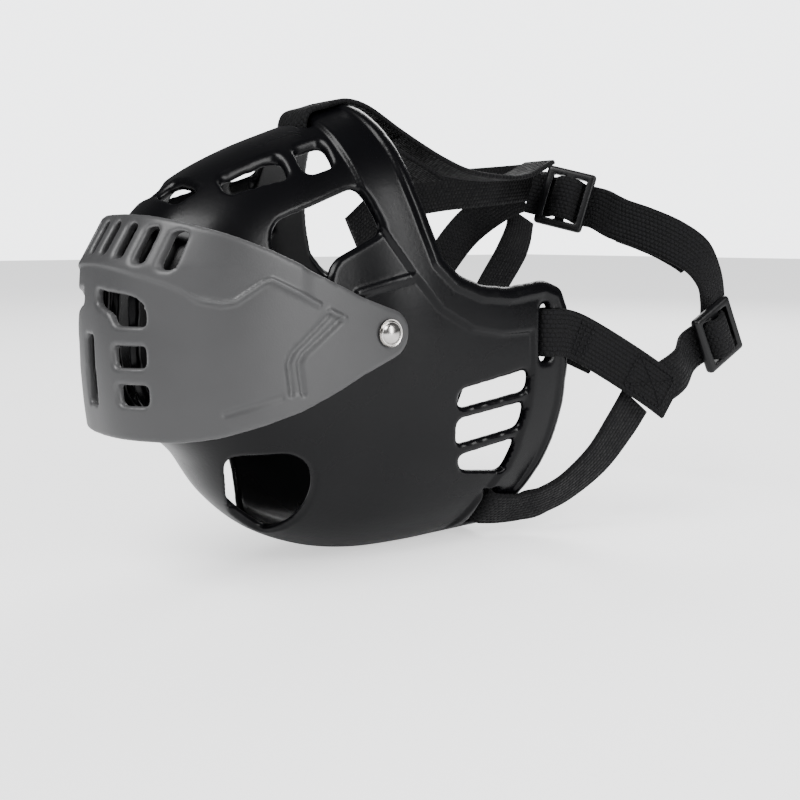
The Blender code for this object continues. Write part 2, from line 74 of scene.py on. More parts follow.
# Front edge of the raised flange that runs down the rear of the shell
FLANGE = (
    (-26.4, 64.0), (-26.0, 57.5), (-25.0, 51.5), (-24.0, 47.6), (-23.2, 43.6), (-22.0, 39.4), (-19.2, 34.6),
    (-14.5, 28.0), (-9.0, 21.5), (-1.5, 17.3), (6.0, 16.0), (14.2, 16.2), (14.7, 7.5), (14.2, 0.5),
    (12.8, -6.0), (11.2, -11.0), (8.6, -16.0), (6.0, -20.0), (4.0, -26.0), (3.0, -36.0),
)
SIDE_WINDOW = ((-42.5, 35.8), (-41.0, 38.0), (-33.0, 41.0), (-24.5, 44.3), (-22.8, 42.5), (-20.2, 36.2),
               (-31.0, 31.5), (-33.0, 28.5), (-33.5, 24.0), (-43.0, 24.0))
REAR_SLOTS = (
    ((-3.7, 5.2), (14.0, 8.2), (14.0, 4.0), (-3.9, 1.6)),
    ((-3.6, -0.8), (13.8, 1.4), (12.8, -3.8), (-3.2, -6.0)),
    ((-2.2, -8.6), (12.6, -6.4), (10.6, -13.4), (-0.6, -11.8)),
)
CHIN_OPENING = ((-50.0, -4.0), (-39.0, -4.0), (-35.0, -7.0), (-33.8, -12.0), (-35.0, -18.0), (-38.5, -22.5),
                (-42.5, -20.5), (-47.0, -13.0))
TOP_WINDOWS = (
    ((9.0, -48.0), (10.0, -36.5), (14.3, -36.5), (12.6, -48.0)),
    ((10.2, -33.2), (10.4, -27.2), (15.0, -27.2), (14.6, -33.2)),
)
NOSE_WINDOW = ((1.2, -56.5), (1.2, -52.6), (8.6, -51.4), (7.8, -55.8))
GRILLE_X, GRILLE_W, GRILLE_Z = (-10.0, -5.0, 0.0, 5.0, 10.0), 3.4, (4.5, 32.5)

VISOR_PROFILE = (
    (-75.0, 41.0), (-62.0, 38.9), (-51.6, 35.5), (-45.4, 33.0), (-36.0, 28.6), (-27.0, 24.4), (-22.0, 22.6),
    (-19.0, 21.6), (-17.4, 19.6), (-17.0, 17.8), (-17.4, 15.6), (-19.0, 13.6), (-22.0, 12.4),
    (-27.1, 10.4), (-33.0, 7.6), (-40.3, 4.6), (-47.8, 2.5), (-54.7, 0.9), (-60.2, 0.3), (-75.0, 0.6),
)
VISOR_SLOT_X, VISOR_SLOT_W, VISOR_SLOT_Z = (2.4, 7.3, 11.6, 15.4), 2.5, (32.0, 38.0)
VISOR_EYE = (
    (2.8, 26.4), (10.6, 25.6), (12.6, 24.6), (13.4, 22.6), (13.4, 20.4), (8.0, 20.4), (6.6, 22.6),
    (2.8, 23.9),
)
VISOR_SQUARES = (
    ((7.4, 16.9), (13.3, 17.0), (13.3, 13.4), (7.6, 13.2)),
    ((7.8, 10.2), (13.3, 10.4), (13.3, 6.8), (8.2, 6.6)),
)
VISOR_CENTRE_SLOT = ((-1.7, 18.4), (1.7, 18.4), (1.9, 6.0), (-1.9, 6.0))
# Lines moulded into the visor's cheeks, (y, z)
BROW = (
    (-72.0, 31.2), (-68.4, 30.6), (-65.8, 29.1), (-62.1, 27.6), (-57.4, 24.9), (-54.1, 24.2),
    (-52.0, 24.5), (-47.3, 27.6), (-45.9, 28.0), (-37.0, 23.6),
)
BROW_END = ((-34.8, 22.3), (-32.0, 21.0))
CHEEK_FRONT = ((-35.1, 21.7), (-42.3, 15.4), (-43.1, 13.5), (-42.5, 8.1))
CHEEK_REAR = ((-32.2, 21.1), (-40.1, 14.9), (-40.9, 13.4), (-40.2, 8.0))
JAW_LINE = ((-44.3, 7.6), (-54.0, 5.2))
BROW_STEP, RAISED_LINE, GROOVE = 0.35, 0.5, 0.35

LEDGE = ((-27.0, 25.2), (-14.6, 28.0))
FLANGE_STEP, LIP_STEP, LEDGE_STEP = 0.75, 0.45, 0.45


SHELL_GRAIN, VISOR_GRAIN, SLIDER_GRAIN = (0.34, 0.7), (0.28, 0.6), 0.22
PIN_HOLE_SHELL, PIN_HOLE_VISOR = 1.8, 1.85
# How far the cutters reach through the shell's and the visor's walls
THROUGH_SIDES, THROUGH_NOSE, THROUGH_TOP = (-40.0, 40.0), (-80.0, -50.0), (28.0, 75.0)

# ---------------------------------------------------------------- colours

NICKEL_DULL, NICKEL_BRIGHT = (0.42, 0.40, 0.38), (0.78, 0.76, 0.73)
WEBBING_DEEP, WEBBING_LIT = (0.001, 0.001, 0.0012), (0.0065, 0.0065, 0.0075)
THREAD_DEEP, THREAD_LIT = (0.001, 0.001, 0.0012), (0.005, 0.005, 0.006)
FLOOR_LOW, FLOOR_HIGH = (0.93, 0.93, 0.935), (0.96, 0.96, 0.96)
FLOOR_GLOW = 0.9


def place(x, y, z):
    return Vector((x * MM, y * MM, (z + LIFT) * MM))


# ---------------------------------------------------------------- mesh helpers

def link(name, mesh):
    obj = bpy.data.objects.new(name, mesh)
    bpy.context.scene.collection.objects.link(obj)
    return obj


def mesh_object(name, verts, faces):
    mesh = bpy.data.meshes.new(name)
    mesh.from_pydata([tuple(v) for v in verts], [], faces)
    mesh.validate()
    return link(name, mesh)


def tidy(obj, weld=0.00001):
    bm = bmesh.new()
    bm.from_mesh(obj.data)
    bmesh.ops.remove_doubles(bm, verts=bm.verts, dist=weld)
    bmesh.ops.recalc_face_normals(bm, faces=bm.faces)
    bm.to_mesh(obj.data)
    bm.free()
    return obj


def applied(obj):
    """Bakes the modifiers into the mesh."""
    graph = bpy.context.evaluated_depsgraph_get()
    mesh = bpy.data.meshes.new_from_object(obj.evaluated_get(graph))
    obj.modifiers.clear()
    obj.data = mesh
    return obj


def shade(obj, angle=None):
    obj.data.shade_smooth()
    if angle:
        obj.data.set_sharp_from_angle(angle=math.radians(angle))


def smooth_through(points, count):
    """Catmull-Rom points through the given ones, count to each span."""
    pts = [Vector(p) for p in points]
    ends = [pts[0] * 2 - pts[1]] + pts + [pts[-1] * 2 - pts[-2]]
    out = []
    for i in range(1, len(ends) - 2):
        a, b, c, d = ends[i - 1:i + 3]
        for k in range(count):
            t = k / count
            out.append(0.5 * (2 * b + (c - a) * t + (2 * a - 5 * b + 4 * c - d) * t * t
                              + (3 * b - a - 3 * c + d) * t ** 3))
    out.append(pts[-1])
    return out


def rounded(outline, radius, steps=4):
    """An outline with its corners rounded."""
    out = []
    count = len(outline)
    for i in range(count):
        here = Vector(outline[i])
        back, ahead = Vector(outline[i - 1]) - here, Vector(outline[(i + 1) % count]) - here
        reach = min(radius, back.length * 0.45, ahead.length * 0.45)
        start, end = here + back.normalized() * reach, here + ahead.normalized() * reach
        for k in range(steps + 1):
            t = k / steps
            out.append(tuple(start * (1 - t) ** 2 + here * 2 * t * (1 - t) + end * t * t))
    return out


def prism(outline, axis, start, end):
    """A closed prism of an outline drawn out along an axis."""
    order = {
        "X": lambda a, b, t: (t, a, b),
        "Y": lambda a, b, t: (a, t, b),
        "Z": lambda a, b, t: (a, b, t),
    }[axis]
    count = len(outline)
    verts = [place(*order(a, b, t)) for t in (start, end) for a, b in outline]
    faces = [tuple(range(count)), tuple(range(2 * count - 1, count - 1, -1))]
    faces += [(k, k + count, (k + 1) % count + count, (k + 1) % count) for k in range(count)]
    return tidy(mesh_object("cutter", verts, faces), 0.000001)


BOX_FACES = [(0, 1, 3, 2), (4, 6, 7, 5), (0, 4, 5, 1), (2, 3, 7, 6), (0, 2, 6, 4), (1, 5, 7, 3)]


def block(size, centre, tilt=0.0):
    """A box of a size in mm, turned about Y by tilt degrees."""
    x, y, z = (s / 2 for s in size)
    turn = math.radians(tilt)
    verts = []
    for dx, dy, dz in ((a, b, c) for a in (-x, x) for b in (-y, y) for c in (-z, z)):
        verts.append(place(centre[0] + dx * math.cos(turn) + dz * math.sin(turn), centre[1] + dy,
                           centre[2] - dx * math.sin(turn) + dz * math.cos(turn)))
    return tidy(mesh_object("cutter", verts, BOX_FACES), 0.000001)


def rod_cutter(radius, y, z):
    turns = [math.pi * k / 20 for k in range(40)]
    outline = [(y + radius * math.cos(turn), z + radius * math.sin(turn)) for turn in turns]
    return prism(outline, "X", *THROUGH_SIDES)


def carve(obj, cutters, operation="DIFFERENCE"):
    """Cuts obj with each cutter, then throws the cutters away."""
    for cutter in cutters:
        mod = obj.modifiers.new("carve", "BOOLEAN")
        mod.operation = operation
        mod.solver = "EXACT"
        mod.object = cutter
    applied(obj)
    for cutter in cutters:
        bpy.data.objects.remove(cutter, do_unlink=True)
    return obj


def mould(obj, voxel, rounds):
    """Melts the cut edges into the small radii that a moulding has."""
    mod = obj.modifiers.new("melt", "REMESH")
    mod.mode = "VOXEL"
    mod.voxel_size = voxel * MM
    mod = obj.modifiers.new("ease", "SMOOTH")
    mod.factor = 0.5
    mod.iterations = rounds
    applied(obj)
    shade(obj)
    return obj


def round_edges(obj, rounds):
    """Eases only the vertices near an edge, so that every cut gets an even moulded radius."""
    mesh = obj.data
    count = len(mesh.vertices)
    spots, normals = np.empty(count * 3), np.empty(count * 3)
    ends = np.empty(len(mesh.edges) * 2, dtype=np.int32)
    mesh.vertices.foreach_get("co", spots)
    mesh.vertex_normals.foreach_get("vector", normals)
    mesh.edges.foreach_get("vertices", ends)
    spots, normals = spots.reshape(-1, 3), normals.reshape(-1, 3)
    a, b = ends[0::2], ends[1::2]
    share = np.maximum(np.bincount(a, minlength=count) + np.bincount(b, minlength=count), 1)

    def neighbours(values):
        return (np.bincount(a, values[b], count) + np.bincount(b, values[a], count)) / share

    bend = 1 - (normals[a] * normals[b]).sum(axis=1)
    near = np.maximum(np.bincount(a, bend, count), np.bincount(b, bend, count))
    weight = ramp(near, 0.03, 0.12)
    for _ in range(3):
        weight = np.maximum(weight, neighbours(weight))
    for _ in range(rounds):
        for axis in range(3):
            spots[:, axis] += 0.5 * weight * (neighbours(spots[:, axis]) - spots[:, axis])
    mesh.vertices.foreach_set("co", spots.ravel())
    mesh.update()
    return obj


def line_distance(points, line):
    """Distance in mm of each (y, z) point from a chain of straight runs."""
    best = np.full(len(points), 1e9)
    for (ay, az), (by, bz) in zip(line[:-1], line[1:]):
        a, d = np.array((ay, az)), np.array((by - ay, bz - az))
        t = np.clip(((points - a) @ d) / (d @ d), 0, 1)
        best = np.minimum(best, np.linalg.norm(points - a - t[:, None] * d, axis=1))
    return best


def inside(points, outline):
    """True for each point inside a closed outline."""
    hit = np.zeros(len(points), bool)
    for (ay, az), (by, bz) in zip(outline, [*outline[1:], outline[0]]):
        crosses = (az > points[:, 1]) != (bz > points[:, 1])
        at = ay + (points[:, 1] - az) / ((bz - az) or 1e-9) * (by - ay)
        hit ^= crosses & (points[:, 0] < at)
    return hit


def ramp(value, low, high):
    t = np.clip((value - low) / (high - low), 0, 1)
    return t * t * (3 - 2 * t)


def emboss(obj, relief, middle):
    """Moves the outside of a moulding by its relief; middle is the height of its long axis, in mm."""
    mesh = obj.data
    count = len(mesh.vertices)
    spots, normals = np.empty(count * 3), np.empty(count * 3)
    mesh.vertices.foreach_get("co", spots)
    mesh.vertex_normals.foreach_get("vector", normals)
    spots, normals = spots.reshape(-1, 3) / MM, normals.reshape(-1, 3)
    spots[:, 2] -= LIFT
    away = spots - (0.0, -28.0, middle)
    away[:, 1] = np.minimum(away[:, 1], 0.0)
    facing = (away * normals).sum(axis=1) / np.linalg.norm(away, axis=1)
    spots += normals * (relief(spots[:, 1:]) * ramp(facing, 0.1, 0.6))[:, None]
    spots[:, 2] += LIFT
    mesh.vertices.foreach_set("co", (spots * MM).ravel())
    ease = obj.modifiers.new("ease", "SMOOTH")
    ease.iterations = 2
    applied(obj)
    shade(obj)
    return obj


def grid_normals(grid, wrap):
    """Unit normals of a (rows, columns, 3) grid."""
    along = np.gradient(grid, axis=0)
    if wrap:
        across = np.roll(grid, -1, axis=1) - np.roll(grid, 1, axis=1)
    else:
        across = np.gradient(grid, axis=1)
    normal = np.cross(across, along)
    return normal / (np.linalg.norm(normal, axis=2, keepdims=True) + 1e-9)


# ---------------------------------------------------------------- shell

def power(value, exponent):
    return math.copysign(abs(value) ** exponent, value)


def shell_grid(spans, around):
    crowns = smooth_through([(0.0, *s[0]) for s in STATIONS], spans)
    sides = smooth_through([s[1] for s in STATIONS], spans)
    keels = smooth_through([(0.0, *s[2]) for s in STATIONS], spans)
    rows = []
    for crown, side, keel in list(zip(crowns, sides, keels))[1:]:
        row = []
        for k in range(around):
            turn = 2 * math.pi * k / around
            across, up = power(math.cos(turn), 2 / ROUND), power(math.sin(turn), 2 / ROUND)
            end = crown if up >= 0 else keel
            share = abs(up)
            row.append((side.x * across, side.y + (end.y - side.y) * share ** 1.5,
                        side.z + (end.z - side.z) * share))
        rows.append(row)
    return np.array(rows)


def shell_relief(flat):
    """How far the shell's outside stands proud: the flange, its lip and the ledge by the side window."""
    edge = line_distance(flat, FLANGE)
    behind = inside(flat, [*FLANGE, (60.0, -36.0), (60.0, 64.0)])
    height = FLANGE_STEP * ramp(np.where(behind, edge, -edge), -0.45, 0.45)
    height += LIP_STEP * (1 - ramp(line_distance(flat, RIM), 1.7, 2.6))
    ledge = line_distance(flat, LEDGE)
    height += LEDGE_STEP * (1 - ramp(ledge, 0.3, 1.1)) * ~behind
    return height * ramp(flat[:, 1], -29.5, -24.0)


def shell_body():
    spans, around = ((10, 150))
    outer = shell_grid(spans, around)
    normal = grid_normals(outer, True)
    centre = np.array((0.0, 0.0, 16.0)) - outer
    centre[..., 1] = 0
    flip = np.sign(-(normal * centre).sum(axis=2, keepdims=True))
    normal = normal * np.where(flip == 0, 1, flip)
    inner = outer - normal * SHELL_WALL
    rows = len(outer)
    verts = [place(0.0, -66.5, 18.0), place(0.0, -66.5 + SHELL_WALL, 18.0)]
    verts += [place(*p) for p in outer.reshape(-1, 3)] + [place(*p) for p in inner.reshape(-1, 3)]
    base_in = 2 + rows * around
    faces = []
    for k in range(around):
        n = (k + 1) % around
        faces.append((0, 2 + k, 2 + n))
        faces.append((1, base_in + n, base_in + k))
        last = (rows - 1) * around
        faces.append((2 + last + k, base_in + last + k, base_in + last + n, 2 + last + n))
        for r in range(rows - 1):
            a = r * around
            faces.append((2 + a + k, 2 + a + around + k, 2 + a + around + n, 2 + a + n))
            b = base_in + a
            faces.append((b + k, b + n, b + around + n, b + around + k))
    return tidy(mesh_object("basket_moulding", verts, faces))


def shell_cutters():
    soft = 1.3
    cutters = [prism([*RIM, (60.0, -32.0), (60.0, 70.0)], "X", *THROUGH_SIDES)]
    cutters.append(block((60.0, 140.0, 10.0), (0.0, -10.0, -LIFT - 5.0)))
    cutters.append(prism(rounded(SIDE_WINDOW, 1.6), "X", *THROUGH_SIDES))
    cutters += [prism(rounded(outline, soft), "X", *THROUGH_SIDES) for outline in REAR_SLOTS]
    for sign in (1.0, -1.0):
        cutters.append(prism(rounded(CHIN_OPENING, 3.0), "X", 4.0 * sign, 40.0 * sign))
        for outline in (*TOP_WINDOWS, NOSE_WINDOW):
            cutters.append(prism(rounded([(a * sign, b) for a, b in outline], 0.9), "Z", *THROUGH_TOP))
        cutters.append(block((12.0, 3.4, 12.0), (16.2 * sign, 9.4, -22.0), -50.0 * sign))
    low, high = GRILLE_Z
    for x in GRILLE_X:
        top = high - 0.03 * x * x
        a, b = x - GRILLE_W / 2, x + GRILLE_W / 2
        cutters.append(prism(rounded(((a, low), (b, low), (b, top), (a, top)), 1.5), "Y", *THROUGH_NOSE))
    ear = ((16.3, 9.6), (19.4, 9.6), (19.4, 21.8), (16.3, 21.8))
    cutters.append(prism(rounded(ear, 0.9), "X", *THROUGH_SIDES))
    crown = ((-5.8, -28.2), (5.8, -28.2), (5.8, -25.2), (-5.8, -25.2))
    cutters.append(prism(rounded(crown, 0.8), "Z", 40.0, 75.0))
    cutters.append(rod_cutter(PIN_HOLE_SHELL, RIVET_Y, RIVET_Z))
    return cutters


def build_shell():
    shell = mould(carve(shell_body(), shell_cutters()), SHELL_GRAIN[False], 4)
    round_edges(shell, 44)
    return emboss(shell, shell_relief, 16.0)


# ---------------------------------------------------------------- visor

def visor_front(z):
    """How far the visor's nose leans back at a height."""
    return 0.004 * (z - 15.0) ** 2 if z < 30.5 else 0.96 + (z - 30.5) * 0.62


def visor_relief(flat):
    """How far the visor's outside stands proud: the brow, its raised lines and the grooves of the cheek."""
    brow_panel = inside(flat, [*BROW, (-37.0, 60.0), (-90.0, 60.0)])
    edge = line_distance(flat, BROW)
    height = BROW_STEP * ramp(np.where(brow_panel, edge, -edge), -0.35, 0.35)
    height *= 1 - ramp(flat[:, 0], -41.0, -37.4)
    height += RAISED_LINE * (1 - ramp(edge, 0.2, 0.75)) * ramp(flat[:, 0], -60.0, -56.0)
    height += RAISED_LINE * (1 - ramp(line_distance(flat, BROW_END), 0.2, 0.75))
    for line, depth in ((CHEEK_FRONT, GROOVE), (CHEEK_REAR, GROOVE), (JAW_LINE, GROOVE * 0.6)):
        height -= depth * (1 - ramp(line_distance(flat, line), 0.2, 0.75))
    return height - 0.2 * inside(flat, [*CHEEK_FRONT, *reversed(CHEEK_REAR)])


def visor_body():
    steps, rise = ((110, 86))
    rows = []
    for z in np.linspace(-1.0, 42.0, rise):
        reach = VISOR_L - visor_front(z)
        half = [(VISOR_W, VISOR_Y0 + 7.0 - 7.0 * k / 12) for k in range(12)]
        for k in range(steps + 1):
            turn = math.pi / 2 * (1 - k / steps)
            half.append((VISOR_W * math.sin(turn) ** (2 / VISOR_N),
                         VISOR_Y0 - reach * abs(math.cos(turn)) ** (2 / VISOR_N)))
        rows.append([(x, y, z) for x, y in half + [(-x, y) for x, y in reversed(half[:-1])]])
    outer = np.array(rows)
    normal = grid_normals(outer, False)
    if normal[rise // 2, 2, 0] < 0:
        normal = -normal
    inner = outer - normal * VISOR_WALL
    wide = outer.shape[1]
    verts = [place(*p) for p in outer.reshape(-1, 3)] + [place(*p) for p in inner.reshape(-1, 3)]
    half = rise * wide
    faces = []
    for r in range(rise - 1):
        for k in range(wide - 1):
            a = r * wide + k
            faces.append((a, a + 1, a + wide + 1, a + wide))
            faces.append((half + a, half + a + wide, half + a + wide + 1, half + a + 1))
    for k in range(wide - 1):
        last = (rise - 1) * wide + k
        faces.append((k, half + k, half + k + 1, k + 1))
        faces.append((last, last + 1, half + last + 1, half + last))
    for r in range(rise - 1):
        a, b = r * wide, r * wide + wide - 1
        faces.append((a, a + wide, half + a + wide, half + a))
        faces.append((b, half + b, half + b + wide, b + wide))
    return tidy(mesh_object("visor_moulding", verts, faces), 0.000001)


def build_visor():
    visor = visor_body()
    carve(visor, [prism(rounded(VISOR_PROFILE, 1.2), "X", *THROUGH_SIDES)], "INTERSECT")
    cutters = []
    for sign in (1.0, -1.0):
        for x in VISOR_SLOT_X:
            a, b = sign * (x - VISOR_SLOT_W / 2), sign * (x + VISOR_SLOT_W / 2)
            low, high = VISOR_SLOT_Z[0] - 0.01 * x * x, VISOR_SLOT_Z[1] - 0.0075 * x * x
            slot = rounded(((a, low), (b, low), (b, high), (a, high)), 1.2, 6)
            cutters.append(prism(slot, "Y", *THROUGH_NOSE))
        for outline in (VISOR_EYE, *VISOR_SQUARES):
            cutters.append(prism(rounded([(a * sign, b) for a, b in outline], 0.8), "Y", *THROUGH_NOSE))
    cutters.append(prism(rounded(VISOR_CENTRE_SLOT, 0.9), "Y", *THROUGH_NOSE))
    cutters.append(rod_cutter(PIN_HOLE_VISOR, RIVET_Y, RIVET_Z))
    carve(visor, cutters)
    mould(visor, VISOR_GRAIN[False], 3)
    round_edges(visor, 14)
    return emboss(visor, visor_relief, 18.0)


# ---------------------------------------------------------------- rivets

def turned(name, profile, sign, sides=56):
    """A piece turned about the rivet axis from (radius, x) points."""
    verts, faces = [], []
    for radius, x in profile:
        for k in range(sides):
            a = 2 * math.pi * k / sides
            verts.append(place(sign * x, RIVET_Y + radius * math.cos(a), RIVET_Z + radius * math.sin(a)))
    for r in range(len(profile) - 1):
        for k in range(sides):
            a, b = r * sides + k, r * sides + (k + 1) % sides
            faces.append((a, b, b + sides, a + sides))
    obj = tidy(mesh_object(name, verts, faces), 0.000001)
    shade(obj, 40)
    return obj


def rivet_profile():
    outer = VISOR_W + 0.35
    dome = [(2.05 * math.sin(a), outer + 0.25 + 1.05 * math.cos(a)) for a in np.linspace(0.0, 1.45, 12)]
    brim = [(2.1 + 0.25 * math.sin(a), outer + 0.2 + 0.22 * math.cos(a)) for a in np.linspace(-0.6, 1.9, 8)]
    return dome + brim + [(2.6, outer + 0.2), (2.6, outer), (1.5, outer), (1.5, 19.0), (0.0, 19.0)]


# ---------------------------------------------------------------- webbing

FOREHEAD = (
    (0, 8.0, 47.8), (0, 2.0, 50.6), (0, -6.0, 53.6), (0, -12.0, 55.0), (0, -18.0, 55.0),
    (0, -23.0, 53.6), (0, -26.0, 53.4), (0, -26.9, 56.0), (0, -25.8, 59.2), (0, -22.0, 60.6),
    (0, -17.0, 61.9), (0, -11.5, 60.9), (0, -4.0, 57.2), (0, 3.0, 54.0), (0, 9.0, 51.6),
    (0, 16.0, 49.6), (0, 26.0, 48.8), (0, 34.0, 49.4), (0, 42.0, 52.8),
)
SIDE_LEFT = (
    (26.4, 34.0, 10.4), (24.2, 29.0, 13.0), (22.9, 25.0, 15.0), (22.7, 21.5, 15.7), (23.0, 19.2, 15.7),
    (24.0, 17.9, 15.7), (26.0, 17.7, 15.7), (27.2, 19.4, 15.7), (27.4, 22.0, 15.6), (27.8, 25.6, 14.6),
    (29.8, 31.0, 11.6), (33.0, 37.5, 7.2), (35.6, 43.4, 3.0), (36.6, 47.4, 0.2),
)
THROAT_LEFT = (
    (31.2, 41.5, -0.4), (30.4, 38.0, -5.4), (28.4, 33.0, -12.6), (25.0, 27.4, -18.6),
    (21.8, 22.8, -21.8), (19.0, 19.2, -23.2), (17.9, 16.5, -23.5), (17.6, 13.0, -23.1),
    (17.0, 10.3, -22.6), (15.7, 9.6, -21.6), (14.3, 10.4, -20.4), (13.5, 12.6, -19.8),
    (12.9, 15.0, -19.3), (12.6, 17.2, -19.0), (12.4, 19.4, -18.8),
)
TOP_SLIDER = ((0.6, 50.4, 44.6), (0.8, 0.6, -0.25), (0.1, 0.3, 1.0))
LOWER_SLIDER = ((35.6, 64.6, 13.4), (-0.1, -0.85, -0.5), (0.0, 0.45, -0.9))
WEAVE = (
    (-8.5, -2.1), (-5.0, -2.1), (-3.3, -1.3), (-2.5, 0.5), (-1.3, 1.9), (1.3, 1.9), (2.5, 0.5),
    (3.3, -1.3), (5.0, -2.1), (8.5, -2.1),
)
NECK_FAR = ((-20.0, 63.0, 47.6), (-16.0, 61.0, 47.2), (-11.6, 57.0, 47.0))
NECK_NEAR = ((12.4, 56.0, 39.8), (19.0, 57.6, 37.6), (25.2, 60.2, 34.8), (29.6, 63.6, 31.2),
             (31.4, 66.4, 26.2), (31.8, 67.6, 21.0), (31.8, 67.8, 16.4))
NECK_END = ((34.4, 53.0, 6.2), (33.8, 48.0, 3.6), (33.4, 43.4, 2.6))
SIDE_RIGHT = (
    (-25.0, 32.0, 23.0), (-23.4, 27.0, 18.6), (-22.8, 24.0, 16.4), (-22.7, 21.5, 15.7),
    (-23.0, 19.2, 15.7), (-24.0, 17.9, 15.7), (-26.0, 17.7, 15.7), (-27.2, 19.4, 15.7),
    (-27.4, 22.0, 15.9), (-27.6, 25.2, 17.6), (-27.4, 32.0, 26.0), (-26.0, 42.0, 37.4),
    (-23.0, 52.0, 44.6), (-21.6, 58.0, 47.0),
)
THROAT_RIGHT = (
    (-24.9, 60.9, 41.0), (-23.6, 58.4, 35.6), (-22.4, 54.0, 30.2), (-23.4, 48.0, 21.0),
    (-24.8, 40.0, 6.0), (-24.6, 32.0, -8.0), (-22.4, 25.5, -17.0), (-19.4, 20.0, -22.0),
    (-17.9, 16.5, -23.3), (-17.6, 13.0, -23.1), (-17.0, 10.3, -22.6), (-15.7, 9.6, -21.6),
    (-14.3, 10.4, -20.4), (-13.5, 12.6, -19.8), (-12.9, 15.0, -19.3), (-12.6, 17.2, -19.0),
    (-12.4, 19.4, -18.8),
)
TAIL = (
    (-17.6, 57.0, 49.6), (-17.0, 48.0, 48.6), (-16.6, 38.0, 47.6), (-16.8, 26.0, 46.4),
    (-17.6, 15.0, 44.4), (-18.6, 7.0, 40.6), (-19.0, 1.0, 36.0),
)


def framed(path, across, count):
    """Point, width direction and face normal at each step of a smooth webbing path."""
    line = smooth_through(path, count)
    lean = smooth_through(across, count)
    steps = []
    for i, point in enumerate(line):
        ahead = (line[min(i + 1, len(line) - 1)] - line[max(i - 1, 0)]).normalized()
        side = (lean[i] - ahead * lean[i].dot(ahead)).normalized()
        steps.append((point, side, ahead.cross(side)))
    return steps


def section(wide, thick):
    """Half outline of the tape: a flat face with softly rolled selvedges."""
    w, t = wide / 2, thick / 2
    top = [(-w, 0.0), (-w * 0.985, t * 0.62), (-w * 0.93, t * 0.96), (-w * 0.5, t), (0.0, t * 1.02),
           (w * 0.5, t), (w * 0.93, t * 0.96), (w * 0.985, t * 0.62), (w, 0.0)]
    return top + [(a, -b) for a, b in reversed(top[1:-1])]


def tape(name, steps, wide=WEB_W, thick=WEB_T, offset=0.0):
    """Webbing with its length and width written into its UV map, in mm."""
    ring = section(wide, thick)
    count = len(ring)
    verts, runs, run = [], [], 0.0
    for i, (point, side, normal) in enumerate(steps):
        run += (point - steps[i - 1][0]).length if i else 0.0
        runs.append(run)
        verts += [place(*(point + side * a + normal * (offset + b))) for a, b in ring]
    faces = [tuple(range(count)), tuple(range(len(verts) - 1, len(verts) - count - 1, -1))]
    for i in range(len(steps) - 1):
        for k in range(count):
            a, b = count * i + k, count * i + (k + 1) % count
            faces.append((a, b, b + count, a + count))
    mesh = bpy.data.meshes.new(name)
    mesh.from_pydata([tuple(v) for v in verts], [], faces)
    uv = mesh.uv_layers.new(name="tape")
    for loop in mesh.loops:
        uv.data[loop.index].uv = (ring[loop.vertex_index % count][0], runs[loop.vertex_index // count])
    obj = link(name, mesh)
    bm = bmesh.new()
    bm.from_mesh(mesh)
    bmesh.ops.recalc_face_normals(bm, faces=bm.faces)
    bm.to_mesh(mesh)
    bm.free()
    shade(obj, 60)
    return obj


def slider_axes(site):
    centre, along, across = (Vector(part) for part in site)
    run = along.normalized()
    wide = (across - run * across.dot(run)).normalized()
    return centre, run, wide, run.cross(wide)


def woven(site):
    centre, run, _, normal = slider_axes(site)
    return [tuple(centre + run * u + normal * t) for u, t in WEAVE]


def neck_path():
    path = [*NECK_FAR, *woven(TOP_SLIDER), *NECK_NEAR]
    wide = tuple(slider_axes(TOP_SLIDER)[2])
    turns = [(0.0, 0.2, 1.0)] * len(NECK_FAR) + [wide] * len(WEAVE)
    turns += [(0.1, 0.3, 1.0), (0.1, 0.35, 0.95), (0.1, 0.45, 0.85), (0.0, 0.65, 0.75), (-0.1, 0.9, 0.45),
              (-0.1, 1.0, 0.1), (-0.1, 1.0, 0.0)]
    return path, turns


def adjuster_path():
    path = [*woven(LOWER_SLIDER)[1:], *NECK_END]
    wide = tuple(slider_axes(LOWER_SLIDER)[2])
    return path, [wide] * (len(WEAVE) - 1) + [(0.0, 0.35, -0.9), (0.0, 0.2, -1.0), (0.0, 0.1, -1.0)]


def strap_routes():
    """Each strap's path and its width directions."""
    slant, far = (0.65, 0.0, 0.76), (-0.65, 0.0, 0.76)
    through_ear = [(0.0, 0.0, 1.0)] * 7
    left = [(0.0, 0.3, 1.0), (0.0, 0.15, 1.0), *through_ear, (0.0, 0.2, 1.0)] + [(0.05, 0.5, 1.0)] * 4
    right = [(0.0, -0.4, 1.0), (0.0, -0.2, 1.0), *through_ear, (0.0, -0.3, 1.0)] + [(0.0, -0.7, 0.8)] * 4
    near_throat = [(0.0, -0.75, 0.6), (0.05, -0.75, 0.62), (0.2, -0.65, 0.68), (0.42, -0.35, 0.76),
                   (0.6, -0.1, 0.77)]
    far_throat = [(0.0, -0.9, 0.5), (0.0, -0.9, 0.5), (0.0, -0.9, 0.4), (0.0, -0.9, 0.35),
                  (0.0, -0.9, 0.4), (-0.15, -0.75, 0.55), (-0.45, -0.35, 0.75)]
    return {
        "forehead_strap": (FOREHEAD, [(1.0, 0.0, 0.0)] * len(FOREHEAD)),
        "side_strap_left": (SIDE_LEFT, left),
        "side_strap_right": (SIDE_RIGHT, right),
        "throat_strap_left": (THROAT_LEFT, near_throat + [slant] * 10),
        "throat_strap_right": (THROAT_RIGHT, far_throat + [far] * 10),
        "strap_tail": (TAIL, [(0.3, 0.0, 1.0)] * len(TAIL)),
        "neck_strap": neck_path(),
        "adjuster_strap": adjuster_path(),
    }


